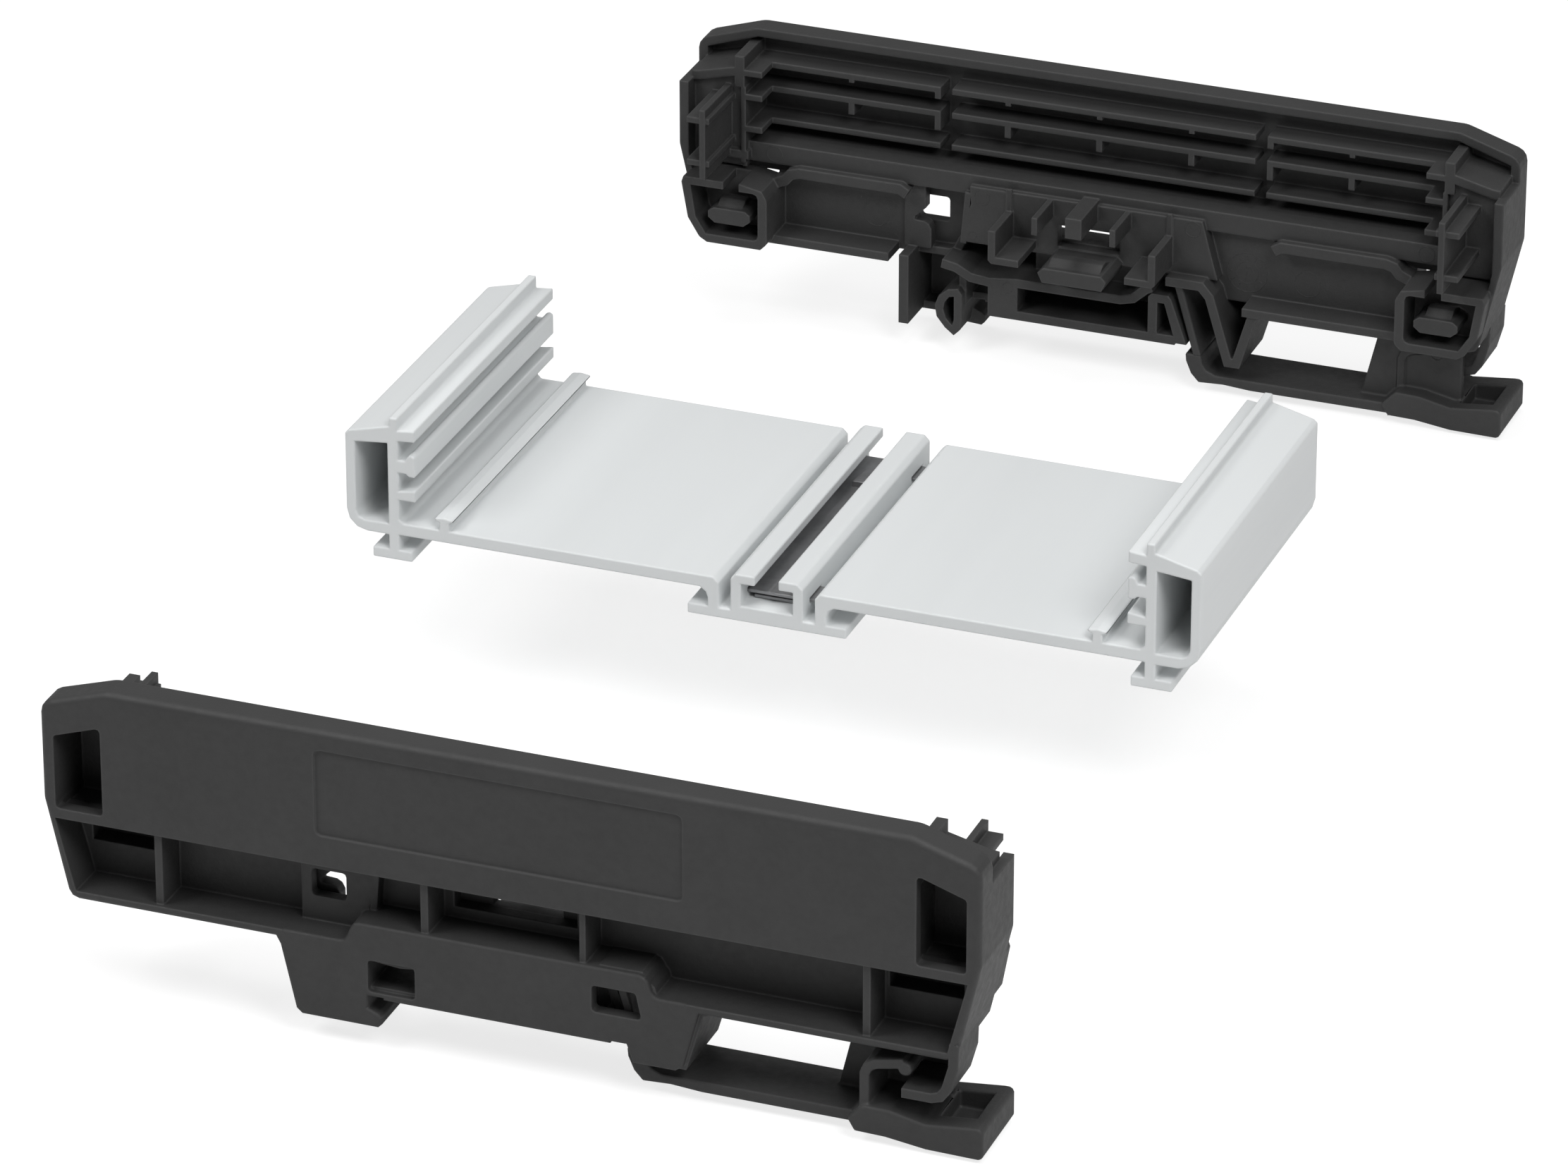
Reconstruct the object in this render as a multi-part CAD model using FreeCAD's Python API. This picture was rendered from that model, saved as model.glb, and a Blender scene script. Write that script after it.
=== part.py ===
import FreeCAD, Part
import math
import os

V = FreeCAD.Vector

# Millimetres: x across, y along the extrusion. Heights below are counted from the
# profile's inner floor, and RISE lifts them so that z = 0 is the rail's top face.
RISE = 18.8

# Side cover: depth is counted from its outer face towards the profile
COVER_OUT = 63.5
STOP = 10.3
RIM_DEPTH = 4.3
PLATE_T = 1.8
BOX_DEPTH = 12.3
FOOT_DEPTH = 12.0
WEB_D = 6.0
WEB_T = 1.5
SEAT_Z = -18.8
LAND_Z = SEAT_Z + 0.3
BROW_R = 0.9
TRAY_Z = -11.1
TRAY_TOP = -8.2
SHELF_Z = -9.5

# Profile: its towers enter the cover's end boxes
LENGTH = 50.0
HALF_L = LENGTH / 2
TOWER_OUT = COVER_OUT - 2.3

# Covers taken off along the extrusion
GAP = 0.1
TRAVEL = 82.0
FRONT_OUT = -HALF_L - GAP - STOP - TRAVEL


def solid(points, y0, y1):
    loop = [V(x, y0, z + RISE) for x, z in points]
    face = Part.Face(Part.makePolygon(loop + [loop[0]]))
    return face.extrude(V(0, y1 - y0, 0))


def block(x0, x1, y0, y1, z0, z1):
    return Part.makeBox(x1 - x0, y1 - y0, z1 - z0, V(x0, y0, z0 + RISE))


def mirror_x(points):
    return [(-x, z) for x, z in points]


def from_end(half, points):
    """Points given by their distance in from an end face at x = half."""
    return [(half - a, z) for a, z in points]


def closed(right):
    """Outline that is the same on both sides, from its right-hand points."""
    return right + mirror_x(right)[::-1]


def joined(shapes):
    whole = shapes[0].multiFuse(shapes[1:])
    return whole.removeSplitter()


def rounded(points, radii):
    """Polygon with the given corners replaced by short arcs of points."""
    out = []
    count = len(points)
    for i, (x, z) in enumerate(points):
        r = radii.get(i, 0)
        if not r:
            out.append((x, z))
            continue
        px, pz = points[i - 1]
        nx, nz = points[(i + 1) % count]
        ax, az = px - x, pz - z
        bx, bz = nx - x, nz - z
        la, lb = math.hypot(ax, az), math.hypot(bx, bz)
        ax, az, bx, bz = ax / la, az / la, bx / lb, bz / lb
        half = math.acos(max(-1, min(1, ax * bx + az * bz))) / 2
        run = min(r / math.tan(half), la * 0.49, lb * 0.49)
        r = run * math.tan(half)
        mx, mz = ax + bx, az + bz
        lm = math.hypot(mx, mz)
        cx, cz = x + mx / lm * r / math.sin(half), z + mz / lm * r / math.sin(half)
        start = math.atan2(z + az * run - cz, x + ax * run - cx)
        stop = math.atan2(z + bz * run - cz, x + bx * run - cx)
        turn = (stop - start + math.pi) % (2 * math.pi) - math.pi
        steps = 2 if r < 1.6 else 3
        for k in range(steps + 1):
            a = start + turn * k / steps
            out.append((cx + r * math.cos(a), cz + r * math.sin(a)))
    return out


def strip(path, thick):
    """Band of even thickness along an open path, as a polygon."""
    left, right = [], []
    last = len(path) - 1
    for i, (x, z) in enumerate(path):
        dirs = []
        if i > 0:
            dirs.append((x - path[i - 1][0], z - path[i - 1][1]))
        if i < last:
            dirs.append((path[i + 1][0] - x, path[i + 1][1] - z))
        dirs = [(a / math.hypot(a, b), b / math.hypot(a, b)) for a, b in dirs]
        nx = -sum(d[1] for d in dirs)
        nz = sum(d[0] for d in dirs)
        n = math.hypot(nx, nz)
        nx, nz = nx / n, nz / n
        grow = thick / 2
        if len(dirs) == 2:
            grow /= max(0.3, nx * -dirs[0][1] + nz * dirs[0][0])
        left.append((x + nx * grow, z + nz * grow))
        right.append((x - nx * grow, z - nz * grow))
    return left + right[::-1]


# Extruded base profile
def tower(sign):
    shelves = [
        (7.7, 0.6), (7.7, 3.5), (10.2, 3.5), (10.2, 5.2), (7.7, 4.8),
        (7.7, 7.6), (8.9, 7.6), (9.3, 7.2), (10.2, 7.2), (10.2, 10.2), (9.7, 10.5),
        (9.2, 10.3), (8.8, 9.5), (7.7, 9.5),
        (7.7, 12.3), (10.2, 12.5), (10.2, 14.2), (7.7, 13.9), (7.7, 15.7),
    ]
    skin = [
        (6.5, 15.7), (6.5, 14.4), (0.6, 12.9), (0.0, 12.4), (0.0, -1.95),
        (6.2, -1.95), (6.2, -4.1), (3.8, -4.1), (3.8, -5.6), (9.6, -5.6),
        (9.6, -4.1), (7.7, -4.1), (7.7, -1.8), (8.3, -1.8), (8.3, 0.0),
    ]
    outline = rounded(from_end(TOWER_OUT, skin + shelves), {4: 3.3})
    hollow = rounded(from_end(TOWER_OUT, [(1.4, -0.3), (6.2, -0.3), (6.2, 11.8), (1.4, 11.3)]), {0: 1.2})
    if sign < 0:
        outline, hollow = mirror_x(outline), mirror_x(hollow)
    body = solid(outline, -HALF_L, HALF_L)
    return body.cut(solid(hollow, -HALF_L - 1, HALF_L + 1))


def half_floor(sign):
    outline = [
        (8.2 - TOWER_OUT, 0.0), (8.2 - TOWER_OUT, -1.8), (-9.6, -1.8), (-8.8, -2.4), (-8.5, -3.2),
        (-8.5, -4.5),
        (-11.4, -4.5), (-11.4, -6.0), (0.0, -6.0), (0.0, -3.75),
        (-3.75, -3.75), (-3.75, -0.43), (-1.7, -0.43), (-1.7, 0.96),
        (-4.4, 0.96), (-5.2, 0.2), (-5.2, -4.5), (-6.9, -4.5), (-6.9, -0.8), (-7.7, 0.0),
    ]
    rib = from_end(TOWER_OUT, [(13.6, -0.2), (15.1, -0.2), (15.0, 1.1), (15.7, 1.4), (15.7, 1.7),
                               (14.3, 1.9), (13.0, 1.7), (13.0, 1.4), (13.7, 1.1)])
    if sign > 0:
        outline = mirror_x(outline)
    else:
        rib = mirror_x(rib)
    return [solid(outline, -HALF_L, HALF_L), solid(rib, -HALF_L, HALF_L)]


STRIP_Z = -2.9
STRIP_T = 0.45
EAR_NEAR = 3.0
EAR_LONG = 4.2

parts_profile = [tower(-1), tower(1)] + half_floor(-1) + half_floor(1)
profile = joined(parts_profile)
for end in (-1, 1):
    y_a = end * (HALF_L - EAR_NEAR)
    y_b = end * (HALF_L - EAR_NEAR - EAR_LONG)
    y0, y1 = min(y_a, y_b) - 0.1, max(y_a, y_b) + 0.1
    for x0, x1 in ((-5.3, -3.6), (3.6, 5.3)):
        profile = profile.cut(block(x0, x1, y0, y1, STRIP_Z, STRIP_Z + STRIP_T + 0.15))

# Contact strip in the centre channel, with ears in the side windows
pieces = [block(-3.3, 3.3, -HALF_L + 6.2, HALF_L - 2.6, STRIP_Z, STRIP_Z + STRIP_T)]
ramp = [(-HALF_L + 3.2, STRIP_Z - 0.75), (-HALF_L + 6.2, STRIP_Z), (-HALF_L + 6.2, STRIP_Z + STRIP_T),
        (-HALF_L + 3.2, STRIP_Z - 0.3)]
loop = [V(-2.9, y, z + RISE) for y, z in ramp]
pieces.append(Part.Face(Part.makePolygon(loop + [loop[0]])).extrude(V(5.8, 0, 0)))
for end in (-1, 1):
    y_a = end * (HALF_L - EAR_NEAR)
    y_b = end * (HALF_L - EAR_NEAR - EAR_LONG)
    pieces.append(block(-5.9, 5.9, min(y_a, y_b), max(y_a, y_b), STRIP_Z, STRIP_Z + STRIP_T))
tongue = [(12.4, STRIP_Z + STRIP_T), (18.0, STRIP_Z + STRIP_T), (18.0, STRIP_Z + STRIP_T + 0.2),
          (13.4, STRIP_Z + STRIP_T + 0.9), (12.4, STRIP_Z + STRIP_T + 0.9)]
loop = [V(-1.6, y, z + RISE) for y, z in tongue]
pieces.append(Part.Face(Part.makePolygon(loop + [loop[0]])).extrude(V(3.2, 0, 0)))
contact = joined(pieces)


# Side cover, built for the front; the back one is its mirror image
def at(points, d0, d1):
    return solid(points, FRONT_OUT + d0, FRONT_OUT + d1)


def bar(x0, x1, d0, d1, z0, z1):
    return block(x0, x1, FRONT_OUT + d0, FRONT_OUT + d1, z0, z1)


def both(points, d0, d1):
    return [at(points, d0, d1), at(mirror_x(points), d0, d1)]


def both_bar(x0, x1, d0, d1, z0, z1):
    return [bar(x0, x1, d0, d1, z0, z1), bar(-x1, -x0, d0, d1, z0, z1)]


def ramp_along(x0, x1, points):
    """Solid whose depth-height section runs across from x0 to x1."""
    ring = [V(x0, FRONT_OUT + d, z + RISE) for d, z in points]
    return Part.Face(Part.makePolygon(ring + [ring[0]])).extrude(V(x1 - x0, 0, 0))


def ends(points, d0, d1):
    """The same piece at both ends, its points counted in from the end faces."""
    return both(from_end(COVER_OUT, points), d0, d1)


def ends_bar(a0, a1, d0, d1, z0, z1):
    return both_bar(COVER_OUT - a1, COVER_OUT - a0, d0, d1, z0, z1)


def softened(shape, depth, radius):
    """Round the edges that lie in the plane at the given depth."""
    y = FRONT_OUT + depth
    edges = [e for e in shape.Edges if abs(e.BoundBox.YMin - y) < 1e-4 and abs(e.BoundBox.YMax - y) < 1e-4]
    return shape.makeFillet(radius, edges)


def cut_rounded(shape, points, d0, d1, radius):
    """Cut a pocket or opening whose corners all have the same radius."""
    corners = {i: radius for i in range(len(points))}
    return shape.cut(at(rounded(points, corners), d0, d1))


RIB_D = 6.0
ROW_Z = (13.0, 9.2, 4.1)
ROW_T = 0.9
RIB_SPANS = ((9.5 - COVER_OUT, -24.7), (-22.9, 24.0), (25.8, COVER_OUT - 9.5))


def shell():
    """Front plate, rim, end walls and side walls as one rounded skin."""
    skin = closed(from_end(COVER_OUT, [(9.2, 18.2), (0.0, 15.3), (0.0, 1.6), (3.2, -12.4)]))
    skin = rounded(skin, {0: 4.0, 1: 2.0, 2: 3.0, 3: 1.5, 4: 1.5, 5: 3.0, 6: 2.0, 7: 4.0})
    body = softened(at(skin, 0, BOX_DEPTH), 0, BROW_R)
    room = closed(from_end(COVER_OUT, [(9.4, 16.9), (1.4, 14.2), (1.4, 0.4), (1.5, -0.2)]))
    body = body.cut(at(room, PLATE_T, BOX_DEPTH + 1))
    band = [(1.6, -0.9), (4.2, TRAY_Z), (COVER_OUT + 0.1, TRAY_Z), (COVER_OUT + 0.1, -0.9)]
    for piece in ends(band, -1, BOX_DEPTH + 1):
        body = body.cut(piece)
    top = [(-COVER_OUT - 1, 11.6), (COVER_OUT + 1, 11.6), (COVER_OUT + 1, 20.0), (-COVER_OUT - 1, 20.0)]
    body = body.cut(at(top, RIM_DEPTH, BOX_DEPTH + 1))
    low = [(-30.5, -10.0), (24.5, -10.0), (24.5, -14.0), (-30.5, -14.0)]
    body = body.cut(at(low, -1, BOX_DEPTH + 1))
    under_room = [(1.5, 1.0), (1.6, -1.0)]
    return body.cut(at(closed(from_end(COVER_OUT, under_room)), RIM_DEPTH, BOX_DEPTH + 1))


def end_boxes():
    """What goes round and into each tower of the profile."""
    roof = [(1.2, 11.2), (1.2, 12.7), (2.3, 12.8), (8.8, 14.4), (8.8, 13.0), (2.5, 11.4)]
    add = ends(roof, PLATE_T - 0.2, STOP)
    add += ends_bar(8.0, 9.5, PLATE_T - 0.2, STOP, 11.1, 16.0)
    add += ends_bar(9.0, 9.7, PLATE_T - 0.2, STOP, -1.8, 11.2)
    add += ends_bar(7.0, 10.1, 8.4, STOP, -0.4, 0.9)
    back = [(8.9, -1.8), (1.2, -1.8), (1.2, 11.8), (8.9, 13.4)]
    add += ends(back, 8.3, 9.5)
    add += ends_bar(1.2, 8.9, 1.6, 9.5, -1.8, -0.5)
    add += ends_bar(1.2, 1.9, 1.6, 9.5, -1.2, 11.6)
    # Peg with two cross flanges
    add += ends_bar(6.3, 7.2, 9.3, 20.5, 0.0, 11.1)
    add += ends_bar(4.2, 7.7, 9.3, 20.2, 8.8, 9.7)
    add += ends_bar(4.2, 7.7, 9.3, 20.2, 2.0, 2.9)
    return add


def board_ribs():
    """Short stubs and long ribs that hold the circuit board's edges."""
    add = []
    for z in ROW_Z:
        add += ends_bar(9.5, 12.3, RIB_D - 0.1, STOP, z, z + ROW_T)
        for x0, x1 in RIB_SPANS:
            add.append(bar(x0, x1, PLATE_T - 0.2, RIB_D, z, z + ROW_T))
    for x in (-38.7, -14.2, 0.0, 14.2, 38.7):
        add.append(bar(x - 0.45, x + 0.45, PLATE_T - 0.2, RIB_D, ROW_Z[1] - 1.8, ROW_Z[1] + 0.1))
        add.append(bar(x - 0.4, x + 0.4, PLATE_T - 0.2, RIB_D, ROW_Z[0] - 0.5, ROW_Z[0] + 0.1))
    for x0, x1 in ((-25.6, -24.7), (25.8, 26.7)):
        add.append(bar(x0, x1, PLATE_T - 0.2, RIB_D, ROW_Z[1] - 2.2, ROW_Z[1] + 0.1))
        add.append(bar(x0, x1, PLATE_T - 0.2, RIB_D, ROW_Z[0] - 1.0, ROW_Z[0] + 0.1))
    return add


def lower_web():
    """Ledge under the ribs, the web behind the open band and its hole plate."""
    ledge_end = COVER_OUT - 9.5
    add = [bar(-ledge_end, ledge_end, PLATE_T - 0.2, 9.0, -1.0, 2.1)]
    web_side = from_end(COVER_OUT, [(1.4, -0.5), (4.0, -11.4)])
    add.append(at(mirror_x(web_side) + [(-29.4, -11.4), (-29.4, -0.5)], WEB_D, WEB_D + WEB_T))
    web = [(-19.0, -0.5), (-19.6, -8.7), (18.6, -8.7), (19.8, -11.4)] + web_side[::-1]
    add.append(at(web, WEB_D, WEB_D + WEB_T))
    hole_plate = [(-29.4, -0.5), (-29.4, -11.4), (-21.8, -11.4), (-20.2, -8.7), (-18.9, -0.5)]
    add.append(at(hole_plate, 4.0, 5.6))
    add.append(bar(-29.4, -28.6, 4.0, 7.5, -11.3, -0.5))
    add.append(at(strip([(-18.9, -0.5), (-19.6, -8.7)], 0.9), 4.0, 9.9))
    ring = strip([(49.2, -3.6), (47.6, -2.9), (46.8, -1.9), (45.4, -1.5), (29.6, -1.5), (28.4, -2.2)], 1.6)
    add += both(ring, 7.0, 10.2)
    # Hanging catch beside the square hole
    catch = [(-29.4, -1.0), (-26.1, -1.0), (-26.1, -4.8), (-27.8, -6.4), (-27.8, -6.9), (-26.3, -7.0),
             (-25.6, -7.4), (-25.2, -8.2), (-25.2, -11.2), (-29.4, -11.2)]
    add.append(at(catch, 6.4, 8.2))
    # Cross ribs of the outer pockets
    for x in (-47.8, 48.4):
        add.append(bar(x - 0.5, x + 0.5, 0.7, 6.5, -11.5, -0.5))
    add.append(bar(-11.6, -10.6, 0.7, 6.5, -8.6, -0.5))
    add.append(bar(10.0, 10.8, 0.7, 6.5, -8.6, -0.5))
    return add


def foot_sleeves():
    """Slotted sleeves for the profile's outer tee feet, each with a snap tongue."""
    sleeve_out = [(1.7, -2.3), (1.4, -3.2), (2.4, -8.8), (4.2, -11.7), (5.4, -12.4), (13.9, -12.4),
                  (14.9, -11.4), (14.9, -4.4), (14.1, -3.0), (10.6, -2.3)]
    sleeve_out = rounded(sleeve_out, {3: 1.2, 6: 0.9, 7: 1.4})
    sleeve_in = [(2.8, -3.5), (3.6, -8.6), (5.2, -11.1), (13.5, -11.1), (13.5, -3.5)]
    sleeve_in = rounded(sleeve_in, {3: 0.8, 4: 0.8})
    add = []
    for side, inside in zip(ends(sleeve_out, 6.5, 15.3), ends(sleeve_in, 9.8, 16)):
        add.append(side.cut(inside))
    tongue = rounded([(5.5, -7.4), (6.3, -6.8), (11.3, -6.8), (12.1, -7.4), (12.1, -8.4), (11.1, -9.2),
                      (6.5, -9.2), (5.5, -8.4)], {1: 0.5, 2: 0.5})
    add += ends(tongue, 6.5, 15.0)
    lug = [(9.4, -6.9), (11.6, -5.95), (12.8, -5.95), (14.4, -6.9)]
    add.append(ramp_along(6.7 - COVER_OUT, 10.6 - COVER_OUT, lug))
    add.append(ramp_along(COVER_OUT - 10.6, COVER_OUT - 6.7, lug))
    return add


def centre_lock():
    """Face plate with prongs, guides for the bottom plate and a snap tongue."""
    face = [(-18.6, 0.6), (-18.4, -2.2), (-20.0, -6.9), (-19.3, -8.4), (19.9, -8.4), (17.4, 0.6)]
    add = [at(rounded(face, {2: 0.8, 3: 0.8}), 7.2, 9.9)]
    add += both_bar(12.0, 12.9, 9.8, 10.2, -2.4, 1.2)
    add.append(bar(-6.45, -5.6, 9.0, 17.2, -2.2, 0.5))
    add.append(bar(5.6, 6.45, 9.0, 17.2, -2.2, 0.5))
    add.append(bar(-1.25, 1.25, 9.0, 17.2, -1.9, 1.3))
    guide = [(-12.9, -2.3), (-12.9, -7.0), (-12.4, -7.5), (-8.2, -7.5), (-8.2, -6.4), (-11.8, -6.4),
             (-11.8, -2.3)]
    add += both(guide, 9.0, 17.9)
    mid = [(-5.3, -7.9), (-4.5, -7.1), (4.5, -7.1), (5.3, -7.9), (4.6, -9.4), (-4.6, -9.4)]
    add.append(at(mid, 6.5, 17.6))
    add.append(ramp_along(-4.0, 4.0, [(11.6, -7.2), (13.8, -6.35), (15.0, -6.35), (16.9, -7.2)]))
    return add


def rail_foot():
    """Outer plate, walls, fixed hook and travel stop of the rail foot."""
    wave = [(-22.2, -11.5), (-20.0, -11.9), (-17.7, -13.1), (-14.7, -13.4), (-10.4, -12.9), (5.6, -12.9),
            (7.6, -12.4), (9.6, -10.6), (10.4, -10.2)]
    add = [at(strip(wave, 1.4), 0.9, FOOT_DEPTH), bar(-9.0, 9.0, 6.0, 7.5, -13.0, -7.6)]
    line = [(26.2, TRAY_Z), (20.1, TRAY_Z), (19.1, TRAY_TOP), (-20.8, TRAY_TOP), (-22.0, TRAY_Z),
            (-31.6, TRAY_Z)]
    under = [(-31.6, -12.3), (-21.2, -12.3), (-20.0, SHELF_Z), (18.1, SHELF_Z), (19.0, -12.3), (26.2, -12.3)]
    tray = at(rounded(line + under, {1: 1.0, 2: 1.4, 3: 1.2, 4: 1.0}), 0.9, 7.5)
    foot = [(-31.6, -12.0), (-30.9, -13.3), (-28.9, -22.2), (-28.1, -22.9), (-17.6, -22.9), (-17.1, -22.4),
            (-17.1, -21.4), (-17.6, -20.9), (-19.0, -20.3), (-19.0, LAND_Z), (-16.8, LAND_Z),
            (-16.8, SEAT_Z), (14.2, SEAT_Z), (14.2, LAND_Z), (16.4, LAND_Z), (17.3, -21.0), (23.0, -21.0),
            (24.0, -20.3), (26.2, -12.0)]
    foot_plate = at(rounded(foot + line, {20: 1.0, 21: 1.4, 22: 1.2, 23: 1.0}), 0, PLATE_T)
    foot_plate = softened(foot_plate, 0, 0.45)
    window_a = [(-18.8, -13.2), (-12.3, -13.2), (-12.3, -17.8), (-18.8, -17.8)]
    window_b = [(11.8, -10.8), (17.8, -10.8), (18.6, -14.6), (11.8, -14.6)]
    for points in (window_a, window_b):
        foot_plate = cut_rounded(foot_plate, points, -1, 3, 0.5)
    add.append(tray)
    add.append(foot_plate)
    add.append(bar(-28.9, -27.4, 0.9, FOOT_DEPTH, -22.2, -11.2))
    add.append(bar(-28.9, -22.0, 0.9, 5.0, -22.6, -21.4))
    lip = [(-22.0, -22.6), (-22.0, -20.3), (-19.0, -20.3), (-17.6, -20.9), (-17.1, -21.4), (-17.1, -22.4),
           (-17.6, -22.9)]
    add.append(at(lip, 0.9, 7.0))
    drop = [(-21.2, -15.6), (-19.6, -15.3), (-19.0, -16.2), (-19.0, -20.4), (-19.3, -22.0), (-20.2, -22.9),
            (-21.6, -21.8), (-22.9, -20.2), (-23.2, -18.4), (-22.6, -16.8)]
    drop_in = [(-21.0, -16.8), (-20.2, -16.6), (-20.2, -20.4), (-20.5, -21.4), (-21.4, -20.4),
               (-21.9, -19.0), (-21.7, -17.8)]
    add.append(at(drop, 0.9, FOOT_DEPTH).cut(at(drop_in, 5.0, FOOT_DEPTH + 1)))
    add.append(bar(-19.6, -16.8, 0.9, 7.5, LAND_Z, LAND_Z + 1.1))
    add.append(bar(-16.9, -14.0, 0.9, 7.5, SEAT_Z, SEAT_Z + 1.4))
    add.append(bar(-14.9, 14.2, 0.9, FOOT_DEPTH, SEAT_Z, SEAT_Z + 1.4))
    add.append(at([(-14.9, -13.4), (-10.3, -12.9), (-10.3, -18.0), (-14.0, -18.0), (-14.9, -17.4)],
                  8.5, FOOT_DEPTH))
    add.append(bar(-19.9, -18.8, 0.9, 10.5, LAND_Z + 0.2, -12.6))
    add.append(bar(-12.2, -11.0, 0.9, 9.0, SEAT_Z + 0.5, -12.6))
    box_out = [(10.0, LAND_Z), (10.0, -11.6), (10.5, -11.1), (13.0, -11.1), (13.5, -11.6), (16.0, LAND_Z)]
    box_in = [(11.4, -17.4), (11.4, -12.4), (12.5, -12.4), (14.0, -17.4)]
    add.append(at(box_out, 3.4, FOOT_DEPTH).cut(at(box_in, 3.0, FOOT_DEPTH + 1)))
    vee = strip([(12.6, SHELF_Z + 0.7), (18.0, SHELF_Z + 0.7), (19.4, -10.4), (22.4, -20.3), (23.7, -20.3),
                 (26.0, -12.4), (27.2, -11.8), (28.6, -11.8)], 1.4)
    add.append(at(vee, 0.9, FOOT_DEPTH))
    stop = from_end(COVER_OUT, [(3.3, -9.8), (3.4, -13.1), (4.3, -16.4), (5.1, -17.5), (6.3, -17.9),
                                (10.2, -17.9)])
    add.append(at(strip(stop, 1.3), 0, 7.5))
    return add


def cover():
    add = [shell()] + end_boxes() + board_ribs() + lower_web() + foot_sleeves() + centre_lock() + rail_foot()
    body = joined(add)

    # Openings: end windows, small square hole, blind slots behind the tongues
    window = from_end(COVER_OUT, [(1.8, 0.5), (8.4, 0.5), (8.4, 13.1), (1.8, 10.9)])
    for points in (window, mirror_x(window)):
        body = cut_rounded(body, points, -1, 8.3, 0.5)
    body = cut_rounded(body, [(-28.0, -7.6), (-28.0, -3.7), (-23.2, -3.7), (-23.2, -7.6)], 3.5, 6.0, 0.5)
    body = body.cut(bar(-9.2, 7.6, 5.0, 8.2, -6.6, -3.0))
    body = body.cut(bar(-4.8, 4.8, 8.0, 10.5, -6.8, -3.4))
    for side in (-1, 1):
        x0, x1 = sorted((side * (COVER_OUT - 4.1), side * (COVER_OUT - 14.0)))
        pocket = bar(x0, x1, 5.0, 9.0, -6.5, -2.6)
        for a0, a1 in ((4.7, 8.1), (11.0, 14.2)):
            x0, x1 = sorted((side * (COVER_OUT - a0), side * (COVER_OUT - a1)))
            pocket = pocket.cut(bar(x0, x1, 7.6, 9.1, -5.2, -2.0))
        body = body.cut(pocket)
    for slot in ends_bar(8.0, 10.5, 9.8, 16, -5.0, -1.0):
        body = body.cut(slot)
    label = [(-25.6, 15.6), (24.2, 15.6), (24.2, 3.4), (-25.6, 3.4)]
    return cut_rounded(body, label, -1, 0.3, 0.8)


# Rail latch of the cover: bar, finger loop, pull tab and its leaf spring
LEAF_TOP = (14.4, SHELF_Z)
LEAF_LOW = (17.5, -20.1)
LEAF_T = 1.2
TAB_OUT = COVER_OUT + 0.6
BAR_Z = -23.0
BAR_T = 1.6


def latch():
    tab_in = TAB_OUT - 16.7
    low = BAR_Z - BAR_T
    end = [(18.1, -20.1), (15.7, -20.1), (15.8, -21.3), (16.6, -23.2), (17.8, -24.5), (21.6, -24.3),
           (25.8, low), (tab_in, low), (tab_in, BAR_Z), (26.0, BAR_Z), (20.4, -23.0), (19.0, -22.4),
           (18.4, -21.6)]
    add = [at(end, 2.1, 11.5)]
    loop = from_end(TAB_OUT, [(16.0, -23.4), (16.0, -16.6), (15.6, -15.6), (14.6, -15.0), (10.8, -14.2)])
    add.append(at(strip(loop, 1.3), 0.6, 9.5))
    bulb = Part.makeCylinder(0.9, 8.9, V(TAB_OUT - 10.6, FRONT_OUT + 0.6, RISE - 14.9), V(0, 1, 0))
    add.append(bulb)
    gusset = from_end(TAB_OUT, [(22.1, BAR_Z - 0.4), (19.6, -12.9), (6.8, -12.9), (6.8, -22.0), (16.0, -22.0),
                                (16.0, BAR_Z - 0.4)])
    add.append(at(gusset, 7.8, 9.2))
    tab = from_end(TAB_OUT, [(18.1, BAR_Z), (17.1, -24.7), (13.0, -24.8), (7.6, -25.5), (1.3, -25.6),
                             (0.0, -25.6), (0.0, -21.2), (1.3, -21.2), (7.7, -21.9), (12.4, -20.9),
                             (16.0, -20.8), (16.8, -21.6)])
    tab = rounded(tab, {5: 1.0, 6: 1.0})
    add.append(softened(at(tab, 0.0, FOOT_DEPTH), 0, 0.4))
    body = joined(add)
    pocket = from_end(TAB_OUT, [(1.8, -20.0), (1.8, -24.2), (6.5, -24.2), (6.5, -20.0)])
    return body.cut(at(pocket, 3.0, 9.8))


def leaf():
    x0, z0 = LEAF_TOP
    x1, z1 = LEAF_LOW
    half = LEAF_T / 2
    band = [(x0 - half, z0), (x0 + half, z0), (x1 + half, z1), (x1 - half, z1)]
    return at(band, 2.1, 11.5)


side_front = cover()
latch_front = latch()
leaf_front = leaf()
mid_plane = V(0, 0, 0)
normal = V(0, 1, 0)
side_back = side_front.mirror(mid_plane, normal)
latch_back = latch_front.mirror(mid_plane, normal)
leaf_back = leaf_front.mirror(mid_plane, normal)

os.makedirs("parts", exist_ok=True)
nodes = {
    "base_profile": profile,
    "contact_strip": contact,
    "side_cover_front": side_front,
    "side_cover_back": side_back,
    "rail_latch_front": latch_front,
    "rail_latch_back": latch_back,
    "latch_leaf_front": leaf_front,
    "latch_leaf_back": leaf_back,
}
for name, shape in nodes.items():
    print(name, len(shape.Solids), shape.isValid(), round(shape.Volume, 1))
    shape.exportStep("parts/" + name + ".step")
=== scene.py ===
import math

import bpy
from mathutils import Matrix, Vector


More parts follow.
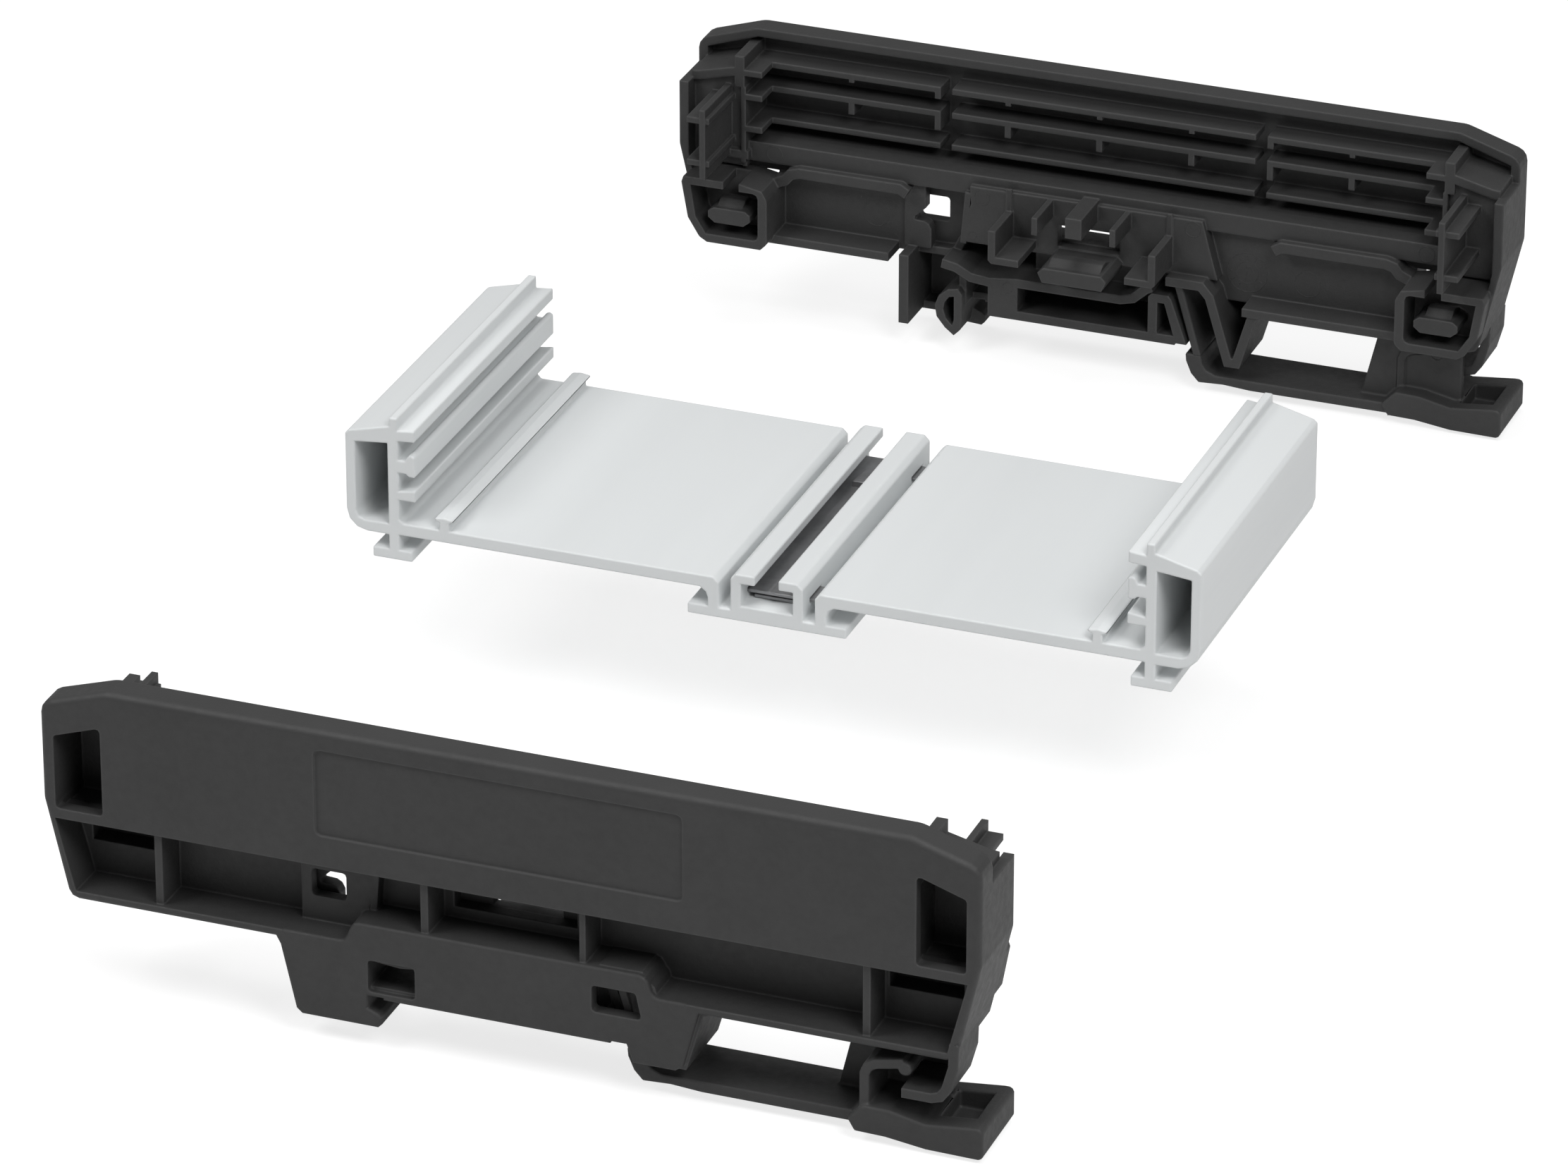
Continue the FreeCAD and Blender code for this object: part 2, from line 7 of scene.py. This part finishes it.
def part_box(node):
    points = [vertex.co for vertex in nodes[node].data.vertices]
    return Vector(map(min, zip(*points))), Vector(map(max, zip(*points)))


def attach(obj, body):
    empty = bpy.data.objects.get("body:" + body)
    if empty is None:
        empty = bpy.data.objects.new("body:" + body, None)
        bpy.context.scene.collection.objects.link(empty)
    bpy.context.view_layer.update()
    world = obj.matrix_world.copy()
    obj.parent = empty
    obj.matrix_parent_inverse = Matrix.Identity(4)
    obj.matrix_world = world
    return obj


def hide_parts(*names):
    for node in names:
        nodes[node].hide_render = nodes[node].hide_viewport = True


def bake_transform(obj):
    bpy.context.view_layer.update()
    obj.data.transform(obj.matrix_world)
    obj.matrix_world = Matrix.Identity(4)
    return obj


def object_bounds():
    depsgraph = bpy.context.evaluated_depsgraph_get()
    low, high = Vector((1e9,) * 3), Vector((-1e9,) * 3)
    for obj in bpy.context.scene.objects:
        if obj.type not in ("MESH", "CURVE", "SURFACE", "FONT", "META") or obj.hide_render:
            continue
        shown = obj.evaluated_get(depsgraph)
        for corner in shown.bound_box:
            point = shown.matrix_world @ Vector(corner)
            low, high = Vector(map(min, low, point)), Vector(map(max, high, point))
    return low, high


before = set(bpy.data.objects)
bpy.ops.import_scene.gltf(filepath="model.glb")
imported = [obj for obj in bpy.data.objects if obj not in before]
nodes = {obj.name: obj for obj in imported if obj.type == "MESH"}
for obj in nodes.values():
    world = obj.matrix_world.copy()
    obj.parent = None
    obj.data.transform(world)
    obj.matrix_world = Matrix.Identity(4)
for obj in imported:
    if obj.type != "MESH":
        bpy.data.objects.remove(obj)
cad_lo, cad_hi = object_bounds()

# Lengths are metres in the frame of the solids
MM = 0.001
ENDS = ("front", "back")
scene = bpy.context.scene
scene.view_settings.view_transform = "Standard"

# The extrusion's inner floor lies this far above its tee feet
FLOOR_OVER_FEET = 6.0 * MM
inner_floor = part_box("base_profile")[0].z + FLOOR_OVER_FEET


# Shader helpers: sockets that the mix node uses for colours
MIX_SHARE = 0
MIX_FIRST = 6
MIX_SECOND = 7
MIX_RESULT = 2

# A noise value keeps mostly between these two
NOISE_LOW = 0.3
NOISE_HIGH = 0.7

# Dot product of the rounded and the true normal, which places the painted edge highlight: flat above
# FLAT_DOT, full edge below EDGE_DOT
EDGE_DOT = 0.8
FLAT_DOT = 0.995
EDGE_SAMPLES = 6


def start_material(name, colour, rough, metallic=0.0, specular=0.5):
    mat = bpy.data.materials.new(name)
    mat.use_nodes = True
    shader = mat.node_tree.nodes["Principled BSDF"]
    shader.inputs["Base Color"].default_value = (*colour, 1.0)
    shader.inputs["Roughness"].default_value = rough
    shader.inputs["Metallic"].default_value = metallic
    shader.inputs["Specular IOR Level"].default_value = specular
    return mat, mat.node_tree, shader


def object_place(tree, stretch_y=1.0):
    """Place on the object in metres, drawn out along y where the factor is under 1."""
    coord = tree.nodes.new("ShaderNodeTexCoord")
    mapping = tree.nodes.new("ShaderNodeMapping")
    mapping.inputs["Scale"].default_value = (1.0, stretch_y, 1.0)
    tree.links.new(coord.outputs["Object"], mapping.inputs["Vector"])
    return mapping.outputs["Vector"]


def noise(tree, place, per_metre, detail=2.0, roughness=0.5):
    node = tree.nodes.new("ShaderNodeTexNoise")
    node.inputs["Scale"].default_value = per_metre
    node.inputs["Detail"].default_value = detail
    node.inputs["Roughness"].default_value = roughness
    tree.links.new(place, node.inputs["Vector"])
    return node.outputs["Fac"]


def spread(tree, value, low, high, start=NOISE_LOW, end=NOISE_HIGH):
    """A value between start and end, spread over low to high."""
    node = tree.nodes.new("ShaderNodeMapRange")
    node.inputs["From Min"].default_value = start
    node.inputs["From Max"].default_value = end
    node.inputs["To Min"].default_value = low
    node.inputs["To Max"].default_value = high
    tree.links.new(value, node.inputs["Value"])
    return node.outputs["Result"]


def blend_colour(tree, value, first, second):
    """Mix of two colours, each a tuple or the output of a node."""
    node = tree.nodes.new("ShaderNodeMix")
    node.data_type = "RGBA"
    for socket, colour in ((MIX_FIRST, first), (MIX_SECOND, second)):
        if isinstance(colour, tuple):
            node.inputs[socket].default_value = (*colour, 1.0)
        else:
            tree.links.new(colour, node.inputs[socket])
    tree.links.new(value, node.inputs[MIX_SHARE])
    return node.outputs[MIX_RESULT]


def soft_edges(tree, radius):
    """A mask that rises from 0 on flat faces to 1 along edges, where the materials paint a highlight, and
    the rounded normal.
    """
    bevel = tree.nodes.new("ShaderNodeBevel")
    bevel.samples = EDGE_SAMPLES
    bevel.inputs["Radius"].default_value = radius
    face = tree.nodes.new("ShaderNodeNewGeometry")
    dot = tree.nodes.new("ShaderNodeVectorMath")
    dot.operation = "DOT_PRODUCT"
    tree.links.new(bevel.outputs["Normal"], dot.inputs[0])
    tree.links.new(face.outputs["Normal"], dot.inputs[1])
    mask = spread(tree, dot.outputs["Value"], 1.0, 0.0, EDGE_DOT, FLAT_DOT)
    return mask, bevel.outputs["Normal"]


def bumped(tree, shader, height, distance, strength, normal):
    node = tree.nodes.new("ShaderNodeBump")
    node.inputs["Distance"].default_value = distance
    node.inputs["Strength"].default_value = strength
    tree.links.new(height, node.inputs["Height"])
    tree.links.new(normal, node.inputs["Normal"])
    tree.links.new(node.outputs["Normal"], shader.inputs["Normal"])


# Black moulded plastic. A name that ends in PER_M is a noise scale, in steps for each metre
BLACK_DARK = (0.031, 0.031, 0.031)
BLACK_LIGHT = (0.036, 0.036, 0.036)
# Lighter colour painted along the edges as a highlight
BLACK_PAINTED_HIGHLIGHT = (0.068, 0.068, 0.068)
BLACK_SPECULAR = 0.4
BLACK_ROUGH = 0.58
BLACK_ROUGH_LOW = 0.54
BLACK_ROUGH_HIGH = 0.64
BLACK_EDGE_RADIUS = 0.45 * MM
MOTTLE_PER_M = 90.0
SHEEN_PER_M = 900.0
GRAIN_PER_M = 2600.0
GRAIN_DEPTH = 0.04 * MM
GRAIN_STRENGTH = 0.8


def moulded_plastic(name):
    """Fine eroded grain, slight mottling and a painted highlight along the edges."""
    mat, tree, shader = start_material(name, BLACK_LIGHT, BLACK_ROUGH, specular=BLACK_SPECULAR)
    place = object_place(tree)
    mottle = noise(tree, place, MOTTLE_PER_M, detail=3.0, roughness=0.6)
    body = blend_colour(tree, spread(tree, mottle, 0.0, 1.0), BLACK_DARK, BLACK_LIGHT)
    painted_highlight_mask, normal = soft_edges(tree, BLACK_EDGE_RADIUS)
    # Painted highlight: the edges take a lighter colour than the body
    tree.links.new(blend_colour(tree, painted_highlight_mask, body, BLACK_PAINTED_HIGHLIGHT), shader.inputs["Base Color"])
    grain = noise(tree, place, GRAIN_PER_M, roughness=0.55)
    sheen = noise(tree, place, SHEEN_PER_M)
    tree.links.new(spread(tree, sheen, BLACK_ROUGH_LOW, BLACK_ROUGH_HIGH), shader.inputs["Roughness"])
    bumped(tree, shader, grain, GRAIN_DEPTH, GRAIN_STRENGTH, normal)
    return mat


# Light grey extruded plastic
GREY_PLAIN = (0.70, 0.72, 0.725)
GREY_DARK = (0.685, 0.705, 0.71)
GREY_LIGHT = (0.715, 0.735, 0.74)
# Lighter colour painted along the edges as a highlight
GREY_PAINTED_HIGHLIGHT = (0.76, 0.775, 0.78)
GREY_ROUGH = 0.42
GREY_ROUGH_LOW = 0.38
GREY_ROUGH_HIGH = 0.50
GREY_EDGE_RADIUS = 0.3 * MM
DIE_LINE_PER_M = 1500.0
DIE_LINE_STRETCH = 0.012
BROAD_PER_M = 70.0
BROAD_STRETCH = 0.1
LINE_DEPTH = 0.01 * MM
DIE_LINE_STRENGTH = 0.5


def extruded_plastic(name):
    """Faint die lines along the length, over a broad change of tone, and a painted highlight along the
    edges.
    """
    mat, tree, shader = start_material(name, GREY_PLAIN, GREY_ROUGH)
    lines = noise(tree, object_place(tree, DIE_LINE_STRETCH), DIE_LINE_PER_M, detail=3.0, roughness=0.65)
    broad = noise(tree, object_place(tree, BROAD_STRETCH), BROAD_PER_M)
    body = blend_colour(tree, spread(tree, broad, 0.0, 1.0), GREY_DARK, GREY_LIGHT)
    painted_highlight_mask, normal = soft_edges(tree, GREY_EDGE_RADIUS)
    # Painted highlight: the edges take a lighter colour than the body
    tree.links.new(blend_colour(tree, painted_highlight_mask, body, GREY_PAINTED_HIGHLIGHT), shader.inputs["Base Color"])
    tree.links.new(spread(tree, lines, GREY_ROUGH_LOW, GREY_ROUGH_HIGH), shader.inputs["Roughness"])
    bumped(tree, shader, lines, LINE_DEPTH, DIE_LINE_STRENGTH, normal)
    return mat


# Dull tinned metal of the contact strip
TIN_PLAIN = (0.35, 0.35, 0.36)
TIN_DARK = (0.30, 0.30, 0.305)
TIN_LIGHT = (0.42, 0.42, 0.43)
# Lighter colour painted along the edges as a highlight
TIN_PAINTED_HIGHLIGHT = (0.50, 0.50, 0.51)
TIN_METALLIC = 0.9
TIN_ROUGH = 0.42
TIN_ROUGH_LOW = 0.32
TIN_ROUGH_HIGH = 0.50
TIN_EDGE_RADIUS = 0.1 * MM
DRAWN_LINE_PER_M = 3000.0
DRAWN_LINE_STRETCH = 0.02
STAIN_PER_M = 260.0
DRAWN_LINE_STRENGTH = 0.6


def strip_metal(name):
    """Drawn lengthwise, with faint stains and a painted highlight along the edges."""
    mat, tree, shader = start_material(name, TIN_PLAIN, TIN_ROUGH, metallic=TIN_METALLIC)
    lines = noise(tree, object_place(tree, DRAWN_LINE_STRETCH), DRAWN_LINE_PER_M, detail=3.0, roughness=0.7)
    stains = noise(tree, object_place(tree), STAIN_PER_M, detail=3.0, roughness=0.6)
    body = blend_colour(tree, spread(tree, stains, 0.0, 1.0), TIN_DARK, TIN_LIGHT)
    painted_highlight_mask, normal = soft_edges(tree, TIN_EDGE_RADIUS)
    # Painted highlight: the edges take a lighter colour than the body
    tree.links.new(blend_colour(tree, painted_highlight_mask, body, TIN_PAINTED_HIGHLIGHT), shader.inputs["Base Color"])
    tree.links.new(spread(tree, lines, TIN_ROUGH_LOW, TIN_ROUGH_HIGH), shader.inputs["Roughness"])
    bumped(tree, shader, lines, LINE_DEPTH, DRAWN_LINE_STRENGTH, normal)
    return mat


cover_mat = moulded_plastic("cover_plastic_grain")
latch_mat = moulded_plastic("latch_plastic_grain")
profile_mat = extruded_plastic("profile_plastic_drawn")
strip_mat = strip_metal("contact_metal_dull")


def dress_node(name, mat):
    for slot in nodes[name].material_slots:
        slot.material = mat


def new_piece(name, points, faces, mat):
    mesh = bpy.data.meshes.new(name)
    mesh.from_pydata(points, [], faces)
    mesh.materials.append(mat)
    piece = bpy.data.objects.new(name, mesh)
    scene.collection.objects.link(piece)
    return piece


# Edges of profile, strip and latches: a small round, as mould and die leave it
SHARP_FROM = math.radians(35.0)
WELD_WITHIN = 0.05 * MM
ROUND_STEPS = 2
PROFILE_ROUND = 0.2 * MM
STRIP_ROUND = 0.05 * MM
LATCH_ROUND = 0.25 * MM


def round_edges(obj, width):
    """Modifiers that round every sharp edge and keep flat faces flat."""
    weld = obj.modifiers.new("weld", "WELD")
    weld.merge_threshold = WELD_WITHIN
    edge = obj.modifiers.new("round", "BEVEL")
    edge.limit_method = "ANGLE"
    edge.angle_limit = SHARP_FROM
    edge.width = width
    edge.segments = ROUND_STEPS
    edge.use_clamp_overlap = False
    edge.loop_slide = False


for name, mat, width in (
    ("base_profile", profile_mat, PROFILE_ROUND),
    ("contact_strip", strip_mat, STRIP_ROUND),
    ("rail_latch_front", latch_mat, LATCH_ROUND),
    ("rail_latch_back", latch_mat, LATCH_ROUND),
):
    dress_node(name, mat)
    round_edges(nodes[name], width)

# The covers keep the corners of their solids, and the material alone softens them
for end in ENDS:
    dress_node("side_cover_" + end, cover_mat)


# Leaf spring: one band from the cover's shelf to the latch, slanting straight between them
LEAF_STEPS = 16
LEAF_T = 1.2 * MM
LEAF_CHAMFER = 0.15 * MM


def leaf_section(y0, y1):
    """Chamfered cross-section of the band, from its left face at x = 0."""
    c = LEAF_CHAMFER
    return [
        (c, y0), (LEAF_T - c, y0), (LEAF_T, y0 + c), (LEAF_T, y1 - c),
        (LEAF_T - c, y1), (c, y1), (0.0, y1 - c), (0.0, y0 + c),
    ]


def leaf_spring(end):
    lo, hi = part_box("latch_leaf_" + end)
    lean = hi.x - lo.x - LEAF_T
    section = leaf_section(lo.y, hi.y)
    count = len(section)
    points = []
    for k in range(LEAF_STEPS + 1):
        share = k / LEAF_STEPS
        z = hi.z + (lo.z - hi.z) * share
        points += [(lo.x + lean * share + x, y, z) for x, y in section]
    bottom = LEAF_STEPS * count
    faces = [tuple(range(count)), tuple(range(bottom, bottom + count))[::-1]]
    for k in range(LEAF_STEPS):
        for i in range(count):
            a = k * count + i
            b = k * count + (i + 1) % count
            faces.append((a, a + count, b + count, b))
    piece = new_piece("latch_leaf_" + end + "_spring", points, faces, latch_mat)
    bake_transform(piece)
    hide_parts("latch_leaf_" + end)


for end in ENDS:
    leaf_spring(end)


# Marks that the mould leaves on the inner faces: ejector pins and a plain dial.
# Their places and radii are millimetres: x across, z over the inner floor, and the
# depth of the face that carries them, counted from the cover's outer face.
WEB_FACE = 7.5
LEDGE_FACE = 9.0
LOCK_FACE = 9.9
FOOT_FACE = 12.0
PIN_MARKS = (
    # x, z, depth, radius
    (33.0, -7.9, WEB_FACE, 2.0),
    (-34.1, -7.2, WEB_FACE, 2.0),
    (-16.7, -0.9, LOCK_FACE, 1.2),
    (-18.1, -7.2, LOCK_FACE, 0.6),
    (16.0, -0.8, LOCK_FACE, 1.2),
    (10.7, -16.8, FOOT_FACE, 0.5),
    (-11.8, -13.8, FOOT_FACE, 0.8),
    (-49.7, 0.6, LEDGE_FACE, 1.2),
    (51.3, 0.5, LEDGE_FACE, 1.2),
)
DIAL_X = 23.7
DIAL_Z = -7.5
DIAL_OUTER = 3.1
DIAL_INNER = 1.7
DIAL_TICKS = 12
TICK_FROM = 2.15
TICK_TO = 2.7

# The dial's pointer: strokes between places that are counted from its centre
POINTER_TAIL = (-0.3, -1.2)
POINTER_TIP = (0.3, 1.2)
BARB_LEFT = (-0.5, 0.5)
BARB_RIGHT = (0.7, 0.3)

# Every mark is a low ridge with a three-cornered section
RIDGE_HALF = 0.09
RIDGE_HIGH = 0.06 * MM
RIDGE_ROOT = 0.02 * MM
RIDGE_CORNERS = 3
RING_STEPS = 40


class MarkMesh:
    """Collects low ridges on faces of a cover that look towards the profile."""

    def __init__(self, end):
        lo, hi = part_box("side_cover_" + end)
        self.outer_y = lo.y if end == "front" else hi.y
        self.side = 1.0 if end == "front" else -1.0
        self.points = []
        self.faces = []

    def place(self, x, z, depth, over):
        y = self.outer_y + self.side * (depth * MM + over)
        return (x * MM, y, inner_floor + z * MM)

    def ridge(self, line, depth, is_loop):
        """Ridge along a line of (x, z, across_x, across_z)."""
        first = len(self.points)
        for x, z, ax, az in line:
            self.points.append(self.place(x - ax * RIDGE_HALF, z - az * RIDGE_HALF, depth, -RIDGE_ROOT))
            self.points.append(self.place(x, z, depth, RIDGE_HIGH))
            self.points.append(self.place(x + ax * RIDGE_HALF, z + az * RIDGE_HALF, depth, -RIDGE_ROOT))
        count = len(line)
        for k in range(count if is_loop else count - 1):
            a = first + RIDGE_CORNERS * k
            b = first + RIDGE_CORNERS * ((k + 1) % count)
            for i in range(RIDGE_CORNERS - 1):
                self.faces.append((a + i, b + i, b + i + 1, a + i + 1))
        if not is_loop:
            last = first + RIDGE_CORNERS * (count - 1)
            self.faces.append((first, first + 1, first + 2))
            self.faces.append((last + 2, last + 1, last))

    def ring(self, x, z, depth, radius):
        line = []
        for k in range(RING_STEPS):
            t = 2 * math.pi * k / RING_STEPS
            line.append((x + radius * math.cos(t), z + radius * math.sin(t), math.cos(t), math.sin(t)))
        self.ridge(line, depth, True)

    def stroke(self, x0, z0, x1, z1, depth):
        run = math.hypot(x1 - x0, z1 - z0)
        ax, az = (z0 - z1) / run, (x1 - x0) / run
        self.ridge([(x0, z0, ax, az), (x1, z1, ax, az)], depth, False)

    def build(self, name):
        return new_piece(name, self.points, self.faces, cover_mat)


def pin_marks(end):
    marks = MarkMesh(end)
    for x, z, depth, radius in PIN_MARKS:
        marks.ring(x, z, depth, radius)
    return marks.build("side_cover_" + end + "_pin_marks")


def mould_dial(end):
    """Two rings with ticks between them and a pointer in the middle."""
    dial = MarkMesh(end)
    dial.ring(DIAL_X, DIAL_Z, WEB_FACE, DIAL_OUTER)
    dial.ring(DIAL_X, DIAL_Z, WEB_FACE, DIAL_INNER)
    strokes = []
    for k in range(DIAL_TICKS):
        t = 2 * math.pi * k / DIAL_TICKS
        c, s = math.cos(t), math.sin(t)
        strokes.append(((TICK_FROM * c, TICK_FROM * s), (TICK_TO * c, TICK_TO * s)))
    strokes.append((POINTER_TAIL, POINTER_TIP))
    strokes.append((POINTER_TIP, BARB_LEFT))
    strokes.append((POINTER_TIP, BARB_RIGHT))
    for (x0, z0), (x1, z1) in strokes:
        dial.stroke(DIAL_X + x0, DIAL_Z + z0, DIAL_X + x1, DIAL_Z + z1, WEB_FACE)
    return dial.build("side_cover_" + end + "_mould_dial")


for end in ENDS:
    for piece in (pin_marks(end), mould_dial(end)):
        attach(piece, "cover_" + end)


# Camera at the photograph's angle: the lens in pixels of the photograph's width
LENS_PX = 12657.0876
FRAME_WIDE = 2224
SENSOR_WIDE = 36.0
YAW = math.radians(20.8319201)
PITCH = math.radians(26.4900872)
EYE = Vector((0.38285, -1.02447, 0.55272))
CLIP_NEAR = 0.05
CLIP_FAR = 20.0


def photo_camera():
    data = bpy.data.cameras.new("camera")
    data.sensor_width = SENSOR_WIDE
    data.lens = LENS_PX / FRAME_WIDE * SENSOR_WIDE
    data.clip_start = CLIP_NEAR
    data.clip_end = CLIP_FAR
    cam = bpy.data.objects.new("camera", data)
    scene.collection.objects.link(cam)
    across = Vector((math.cos(YAW), math.sin(YAW), 0.0))
    level = math.cos(PITCH)
    look = Vector((-math.sin(YAW) * level, math.cos(YAW) * level, -math.sin(PITCH)))
    up = across.cross(look)
    cam.matrix_world = Matrix((
        (across.x, up.x, -look.x, EYE.x),
        (across.y, up.y, -look.y, EYE.y),
        (across.z, up.z, -look.z, EYE.z),
        (0.0, 0.0, 0.0, 1.0),
    ))
    scene.camera = cam


photo_camera()


# Floor and background: white to the camera, dimmer as a light on the object
GLOSSY_SHARE = 0.2
FLOOR_HALF = 6.0
FLOOR_GAP = 0.5 * MM
FLOOR_COLOUR = (0.8, 0.8, 0.8, 1.0)
SHADOW_COLOUR = (0.35, 0.35, 0.35, 1.0)
WHITE_UNDER_SHADOW = 0.78
WHITE = (1.0, 1.0, 1.0, 1.0)
WORLD_LIGHT = 0.1


def seen_share(tree):
    """1 for the camera and through glass, and a part of it in the dull reflections."""
    path = tree.nodes.new("ShaderNodeLightPath")
    glossy = tree.nodes.new("ShaderNodeMath")
    glossy.operation = "MULTIPLY_ADD"
    glossy.inputs[1].default_value = GLOSSY_SHARE
    tree.links.new(path.outputs["Is Glossy Ray"], glossy.inputs[0])
    tree.links.new(path.outputs["Is Transmission Ray"], glossy.inputs[2])
    total = tree.nodes.new("ShaderNodeMath")
    total.operation = "ADD"
    total.use_clamp = True
    tree.links.new(path.outputs["Is Camera Ray"], total.inputs[0])
    tree.links.new(glossy.outputs["Value"], total.inputs[1])
    return total.outputs["Value"]


def floor_material():
    """Plain pale surface for the light, and white with a faint shadow for the camera."""
    mat = bpy.data.materials.new("floor_white")
    mat.use_nodes = True
    tree = mat.node_tree
    tree.nodes.clear()
    out = tree.nodes.new("ShaderNodeOutputMaterial")
    plain = tree.nodes.new("ShaderNodeBsdfDiffuse")
    plain.inputs["Color"].default_value = FLOOR_COLOUR
    shadow = tree.nodes.new("ShaderNodeBsdfDiffuse")
    shadow.inputs["Color"].default_value = SHADOW_COLOUR
    glow = tree.nodes.new("ShaderNodeEmission")
    glow.inputs["Strength"].default_value = WHITE_UNDER_SHADOW
    seen = tree.nodes.new("ShaderNodeAddShader")
    mix = tree.nodes.new("ShaderNodeMixShader")
    tree.links.new(shadow.outputs["BSDF"], seen.inputs[0])
    tree.links.new(glow.outputs["Emission"], seen.inputs[1])
    tree.links.new(seen_share(tree), mix.inputs["Fac"])
    tree.links.new(plain.outputs["BSDF"], mix.inputs[1])
    tree.links.new(seen.outputs["Shader"], mix.inputs[2])
    tree.links.new(mix.outputs["Shader"], out.inputs["Surface"])
    return mat


def white_floor():
    half = FLOOR_HALF
    z = cad_lo.z - FLOOR_GAP
    corners = [(-half, -half, z), (half, -half, z), (half, half, z), (-half, half, z)]
    floor = new_piece("floor", corners, [(0, 1, 2, 3)], floor_material())


def studio_world():
    world = bpy.data.worlds.new("studio")
    scene.world = world
    world.use_nodes = True
    tree = world.node_tree
    tree.nodes.clear()
    out = tree.nodes.new("ShaderNodeOutputWorld")
    mix = tree.nodes.new("ShaderNodeMixShader")
    dim = tree.nodes.new("ShaderNodeBackground")
    dim.inputs["Color"].default_value = WHITE
    dim.inputs["Strength"].default_value = WORLD_LIGHT
    white = tree.nodes.new("ShaderNodeBackground")
    white.inputs["Color"].default_value = WHITE
    tree.links.new(seen_share(tree), mix.inputs["Fac"])
    tree.links.new(dim.outputs["Background"], mix.inputs[1])
    tree.links.new(white.outputs["Background"], mix.inputs[2])
    tree.links.new(mix.outputs["Shader"], out.inputs["Surface"])


# Lamps: each is a disk that looks at the frame's origin
LAMPS = (
    # name, place, size in metres, power in watts
    ("key", (0.40, -0.35, 0.60), 0.35, 2.9),
    ("fill", (-0.40, -0.35, 0.60), 0.35, 2.3),
    ("top", (0.0, 0.14, 1.40), 0.9, 7.6),
    ("side", (1.33, -0.42, 0.49), 0.9, 1.6),
)


def lamp(name, place, size, power):
    data = bpy.data.lights.new(name, "AREA")
    data.shape = "DISK"
    data.size = size
    data.energy = power
    obj = bpy.data.objects.new(name, data)
    scene.collection.objects.link(obj)
    obj.location = place
    obj.rotation_mode = "QUATERNION"
    obj.rotation_quaternion = (-Vector(place)).to_track_quat("-Z", "Y")


white_floor()
studio_world()
for name, place, size, power in LAMPS:
    lamp(name, place, size, power)
